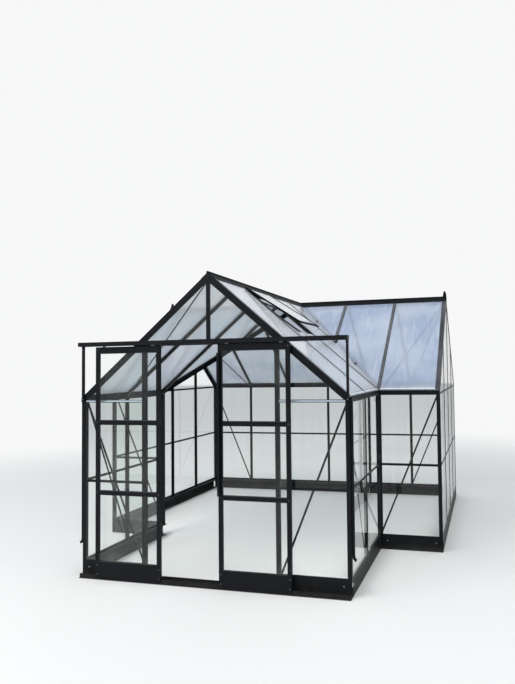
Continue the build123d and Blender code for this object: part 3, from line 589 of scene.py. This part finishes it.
slopes = {
    "right_wing": Slope((0, 0, ridge_height), (0, 1, 0), (cos_p, 0, -sin_p)),
    "left_wing": Slope((0, 0, ridge_height), (0, 1, 0), (-cos_p, 0, -sin_p)),
    "front": Slope((0, ridge_y, ridge_height), (1, 0, 0), (0, -cos_p, -sin_p)),
    "rear": Slope((0, ridge_y, ridge_height), (1, 0, 0), (0, cos_p, -sin_p)),
}
bar_head, bar_foot = 0.0885, half_span / cos_p
wing_bars = [(i * bay, min(half_span, ridge_y - i * bay) / cos_p) for i in (1, 2, 3)]
front_bars = [(x * i * bay, min(half_span, i * bay) / cos_p) for x in (-1, 1) for i in (1, 2)]
rear_bars = [(i * bay, bar_foot) for i in (-2, -1, 0, 1, 2)]
bars = {"right_wing": wing_bars, "left_wing": wing_bars, "front": front_bars, "rear": rear_bars}
bar_screw, screw_from_head, screw_from_foot = (0.0055, 0.003), 0.03, 0.05
sheet_face, vent_foot, bead_play = -0.0033, 0.77, 0.004
roof_heads, roof_beads = [], []
for name, lines in bars.items():
    roof = slopes[name]
    for a, end in lines:
        places = [roof.at(a, d, 0) for d in (bar_head + screw_from_head, end - screw_from_foot)]
        roof_heads += domes(places, roof.out, *bar_screw)
        for turn in (-1, 1):
            side = a + turn * lip
            begin = vent_foot if name == "right_wing" and bay < side < 2 * bay else bar_head
            line = [roof.at(side, begin, sheet_face), roof.at(side, end - bead_play, sheet_face)]
            handed = np.dot(np.cross(roof.out, line[1] - line[0]), roof.along) * turn
            line = line if handed > 0 else line[::-1]
            roof_beads.append(swept(line, bead, roof.out, looped=False))
make_piece("roof_bar_screws", roof_heads, bolt_steel, "house")
make_piece("roof_bar_seals", roof_beads, seal_rubber, "house")

# Roof sheets: 6 mm twin-wall sheet with flutes running down the slope, translucent, its haze a painted sky
# reflection in cloudy blotches. Rain leaves streaks down it, and dirt gathers above the gutter.
flute_pitch, flute_depth = 0.0105, 0.00025
streak_colour, flute_colour, gutter_dirt = (0.78, 0.82, 0.86), (0.40, 0.48, 0.62), (0.42, 0.45, 0.42)
sheet_tint = (0.88, 0.92, 0.96)


def twin_wall(name, across, shade, bright, clear, through):
    """Translucent fluted sheet. The flutes are a sine wave across the slope. The sheet's haze lies between
    two colours of painted sky reflection, in cloudy blotches, and its clear part has a tint and a share."""
    m = Finish(name)
    wave = m.node("ShaderNodeMath", {"operation": "SINE"}, {0: m.axis(across) * (2 * math.pi / flute_pitch)})
    flutes = wave * 0.5 + 0.5
    stretch = (1, 0.12, 0.12) if across == 0 else (0.12, 1, 0.12)
    cloud = m.noise(0.5, detail=3)
    streak = m.noise(0.05, stretch=stretch, detail=5)
    # painted sky reflection: the haze shifts between a darker and a lighter sky colour in cloud-like blotches
    coat = m.mix(m.fade(cloud, 0.35, 0.65), shade, bright)
    coat = m.mix(m.fade(streak, 0.5, 0.75, 0.0, 0.35), coat, streak_colour)
    coat = m.mix(flutes * 0.10, coat, flute_colour)
    foot = m.fade(m.axis(2) + streak * 0.06, 1.68, 1.78, 0.30, 0.0)
    coat = m.mix(foot, coat, gutter_dirt)
    rough = 0.10 + streak * 0.12
    normal = m.relief(flutes, flute_depth)
    haze = m.principled(Base_Color=coat, Roughness=rough, Normal=normal, Transmission_Weight=0.15)
    plain = m.principled(Base_Color=(*clear, 1), Roughness=0.06, IOR=1.45, Transmission_Weight=1.0)
    share = m.fade(cloud, 0.3, 0.7, through - 0.04, through + 0.04)
    return m.done(m.blend(share, haze, m.open_to_lamps(plain, sheet_tint)))


# painted sky reflection: the wing sheets are a lighter copy of one sheet, the main roof's a darker, bluer one
wing_sheet_painted_sky = twin_wall("twin_wall_wing_painted_sky", 1, (0.82, 0.87, 0.93), (0.91, 0.935, 0.96), (0.96, 0.98, 1.0), 0.52)
rear_sheet_painted_sky = twin_wall("twin_wall_rear_painted_sky", 0, (0.39, 0.47, 0.64), (0.59, 0.66, 0.77), (0.84, 0.90, 0.98), 0.54)
paint(wing_sheet_painted_sky, "left_wing_roof_sheets", "right_wing_roof_sheets", "roof_vent_sheet")
paint(rear_sheet_painted_sky, "front_roof_sheets", "rear_roof_sheets")

# Edge strips: a pale folded strip, 12 mm tall, closes the lower end of each roof sheet above the
# gutter. It wraps round the sheet's end and stands a little above its face.
edge_width, edge_wall, edge_round = 0.018, 0.0012, 0.004
edge_low, sheet_back, sheet_front, fold_face, edge_high = -0.0108, -0.0096, -0.0030, -0.0018, 0.0015
edge_profile = [
    (-edge_wall, edge_low), (edge_width, edge_low), (edge_width, sheet_back), (0, sheet_back),
    (0, sheet_front), (edge_width, sheet_front), (edge_width, fold_face), (edge_round, edge_high),
    (-edge_wall, edge_high),
]
rafter_cover = 0.049
wing_runs = [(rafter_cover, bay - lip), (bay + lip, 2 * bay - lip)]
rear_runs = [
    (i * bay + (lip if i > -3 else rafter_cover), (i + 1) * bay - (lip if i < 2 else rafter_cover))
    for i in range(-3, 3)
]
bay_runs = {
    "right_wing": wing_runs,
    "left_wing": wing_runs,
    "front": [(x * (2 * bay + lip), x * (3 * bay - rafter_cover)) for x in (-1, 1)],
    "rear": rear_runs,
}
edges = []
for name, runs in bay_runs.items():
    roof = slopes[name]
    for a, b in runs:
        line = [roof.at(a, bar_foot, 0), roof.at(b, bar_foot, 0)]
        up = np.dot(np.cross(roof.out, line[1] - line[0]), -roof.down)
        line = line if up > 0 else line[::-1]
        edges.append(swept(line, edge_profile, roof.out, looped=False))
edge_plastic = pale_plastic("sheet_edge_strip", (0.70, 0.74, 0.80))
make_piece("sheet_edge_strips", edges, edge_plastic, "house")

# Valley nuts: each round plate over the valley is pressed down by one domed nut, of plated steel.
# The middle plate also covers a meeting of bars, so its nut is larger and stands higher.
nut_marks = ((bay / 2, 0.0001, 0.007), (bay, 0.0034, 0.009), (1.5 * bay, 0.0001, 0.007))
nut_tilt, nut_tall = sin_p * 0.7, 1.1
nuts = []
for x in (-1, 1):
    for reach, rise, radius in nut_marks:
        place = (x * reach, ridge_y - reach, ridge_height - reach * slope + rise / cos_p)
        nuts += domes([place], (x * nut_tilt, -nut_tilt, cos_p), radius, radius * nut_tall)
make_piece("valley_nuts", nuts, bolt_steel, "house")

# Floor, light and camera: a plain pale studio round the house, two soft lamps, and a camera where
# the photograph's camera stood, with its frame moved by the lens shift.
pale_air = (0.93, 0.935, 0.94, 1)


def studio_floor():
    """Pale floor that fades into the backdrop well away from the house."""
    m = Finish("studio_floor")
    from_house = {0: m.place(), 1: (0, 1.9, 0)}
    distance = m.node("ShaderNodeVectorMath", {"operation": "DISTANCE"}, from_house, out="Value")
    far = m.fade(distance, 4.2, 10.5)
    stone = m.principled(Base_Color=(0.80, 0.80, 0.79, 1), Roughness=0.9)
    glow = m.node("ShaderNodeEmission", values={"Color": pale_air, "Strength": 1.0})
    return m.done(m.blend(far * m.node("ShaderNodeLightPath", out="Is Camera Ray"), stone, glow))


floor_reach = 60.0
floor_corners = [(x * floor_reach, y * floor_reach, 0) for x, y in ((-1, -1), (1, -1), (1, 1), (-1, 1))]
floor_mesh = bpy.data.meshes.new("floor")
floor_mesh.from_pydata(floor_corners, [], [(0, 1, 2, 3)])
floor_mesh.materials.append(studio_floor())
add_object("floor", floor_mesh)


def studio_air():
    """The world: it lights the house softly, and looks paler to the camera and in gloss and glass."""
    m = Finish("studio", world=True)
    camera, gloss, glass = (
        m.node("ShaderNodeLightPath", out=f"Is {ray} Ray") for ray in ("Camera", "Glossy", "Transmission")
    )
    either = m.node("ShaderNodeMath", {"operation": "MAXIMUM"}, {0: gloss, 1: glass})
    seen = m.node("ShaderNodeMath", {"operation": "MAXIMUM"}, {0: camera, 1: either})
    light = m.node("ShaderNodeBackground", values={"Color": (0.93, 0.96, 1.0, 1), "Strength": 0.72})
    look = m.node("ShaderNodeBackground", values={"Color": pale_air, "Strength": 1.0})
    return m.done(m.blend(seen, light, look), "ShaderNodeOutputWorld")


bpy.context.scene.world = studio_air()


def set_up(thing, right, up, back, place):
    """Puts a lamp or the camera at a place, with its three axes."""
    rows = np.stack([right, up, back, place], axis=1).tolist()
    thing.matrix_world = Matrix([*rows, (0, 0, 0, 1)])


def softbox(name, place, aim, size, power):
    """A square area lamp that faces a point."""
    data = bpy.data.lights.new(name, "AREA")
    data.size, data.energy = size, power
    place, aim = np.array(place, float), np.array(aim, float)
    back = (place - aim) / np.linalg.norm(place - aim)
    right = np.cross((0, 0, 1), back)
    right /= np.linalg.norm(right)
    set_up(add_object(name, data), right, np.cross(back, right), back, place)


softbox("key_light", (-4.5, -4.5, 7.5), (0, 1.9, 1.0), 5.0, 520)
softbox("fill_light", (6.0, -1.0, 5.5), (0, 1.9, 1.2), 5.0, 160)

focal, principal, frame_size = 558.00, (350.85, 347.24), (515, 684)
stand = np.array([2.380, -4.493, 1.877])
yaw, rise, roll = 0.2363, 0.0379, -0.0151
forward = np.array([-math.sin(yaw) * math.cos(rise), math.cos(yaw) * math.cos(rise), math.sin(rise)])
level_right = np.array([math.cos(yaw), math.sin(yaw), 0.0])
level_up = np.cross(level_right, forward)
right = level_right * math.cos(roll) + level_up * math.sin(roll)
up = -level_right * math.sin(roll) + level_up * math.cos(roll)
lens = bpy.data.cameras.new("camera")
lens.sensor_width = 36.0
lens.lens = focal * lens.sensor_width / frame_size[1]
lens.shift_x = -(principal[0] - frame_size[0] / 2) / frame_size[1]
lens.shift_y = (principal[1] - frame_size[1] / 2) / frame_size[1]
lens.clip_end = 200
camera = add_object("camera", lens)
set_up(camera, right, up, -forward, stand)
bpy.context.scene.camera = camera
bpy.context.scene.view_settings.view_transform = "Standard"
